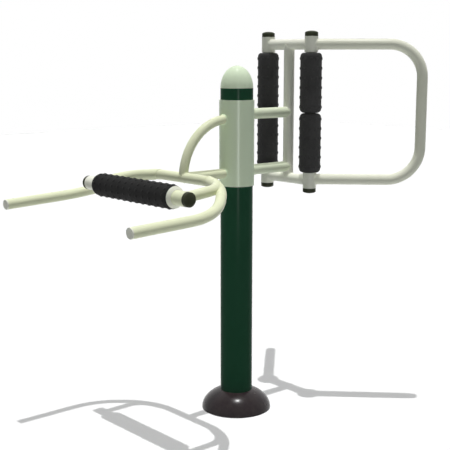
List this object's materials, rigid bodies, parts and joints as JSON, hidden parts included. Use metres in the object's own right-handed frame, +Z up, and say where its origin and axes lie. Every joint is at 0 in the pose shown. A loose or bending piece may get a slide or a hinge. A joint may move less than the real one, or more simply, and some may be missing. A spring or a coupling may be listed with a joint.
{
  "type": "outdoor waist and back massager",
  "caption": "Park fitness post on a domed base: a level nubbed roller with bow handles for the waist on one side, upright nubbed rollers with hand loops for the back on the other.",
  "frame": {"origin": "the post's axis at ground level, on the underside of the base flange", "axes": "+Z up along the post; +X towards the back station with the upright rollers and hand loops; +Y to the left when facing +X"},
  "size_m": [1.2615, 0.8094, 1.3515],
  "materials": {
    "cream_paint": "semi-gloss powder coat",
    "green_paint": "satin powder coat",
    "dark_cover": "gloss moulded",
    "black_rubber": "matt moulded rubber",
    "black_plastic": "satin moulded",
    "plated_steel": "zinc plated"
  },
  "bodies": {
    "stand": {"base_flange": "plated_steel", "base_gussets": "plated_steel", "base_cover": "dark_cover", "post_tube": "green_paint", "post_cap": "cream_paint", "arm_collar": "cream_paint", "upper_support": "cream_paint", "lower_support": "cream_paint", "back_mast": "cream_paint", "top_crossbar": "cream_paint", "bottom_crossbar": "cream_paint", "right_hand_loop": "cream_paint", "left_hand_loop": "cream_paint", "handle_bow": "cream_paint", "right_handle_plug": "cream_paint", "left_handle_plug": "cream_paint", "bow_stub": "cream_paint", "bow_brace": "cream_paint", "right_roller_arm": "cream_paint", "left_roller_arm": "cream_paint", "right_waist_boss": "cream_paint", "left_waist_boss": "cream_paint", "right_waist_cap": "black_plastic", "left_waist_cap": "black_plastic", "right_axle": "plated_steel", "left_axle": "plated_steel", "waist_axle": "plated_steel", "axle_nuts": "plated_steel", "axle_washers": "plated_steel", "thrust_washers": "black_plastic", "right_bottom_boss": "cream_paint", "right_bottom_cap": "black_plastic", "right_top_boss": "cream_paint", "right_top_cap": "black_plastic", "left_bottom_boss": "cream_paint", "left_bottom_cap": "black_plastic", "left_top_boss": "cream_paint", "left_top_cap": "black_plastic"},
    "right_upper_roller": {"right_upper_drum": "plated_steel", "right_upper_bushes": "black_plastic", "right_upper_sleeve": "black_rubber"},
    "right_lower_roller": {"right_lower_drum": "plated_steel", "right_lower_bushes": "black_plastic", "right_lower_sleeve": "black_rubber"},
    "left_upper_roller": {"left_upper_drum": "plated_steel", "left_upper_bushes": "black_plastic", "left_upper_sleeve": "black_rubber"},
    "left_lower_roller": {"left_lower_drum": "plated_steel", "left_lower_bushes": "black_plastic", "left_lower_sleeve": "black_rubber"},
    "waist_roller": {"waist_drum": "plated_steel", "waist_bushes": "black_plastic", "waist_sleeve": "black_rubber", "waist_end_discs": "cream_paint"}
  },
  "joints": [
    {"name": "right_upper_roller_spin", "type": "hinge", "parent": "stand", "child": "right_upper_roller", "pos_m": [0.253, -0.11, 1.064], "axis": [0, 0, 1], "continuous": true},
    {"name": "right_lower_roller_spin", "type": "hinge", "parent": "stand", "child": "right_lower_roller", "pos_m": [0.253, -0.11, 1.064], "axis": [0, 0, 1], "continuous": true},
    {"name": "left_upper_roller_spin", "type": "hinge", "parent": "stand", "child": "left_upper_roller", "pos_m": [0.253, 0.11, 1.064], "axis": [0, 0, 1], "continuous": true},
    {"name": "left_lower_roller_spin", "type": "hinge", "parent": "stand", "child": "left_lower_roller", "pos_m": [0.253, 0.11, 1.064], "axis": [0, 0, 1], "continuous": true},
    {"name": "waist_roller_spin", "type": "hinge", "parent": "stand", "child": "waist_roller", "pos_m": [-0.435, 0, 0.835], "axis": [0, 1, 0], "continuous": true}
  ]
}
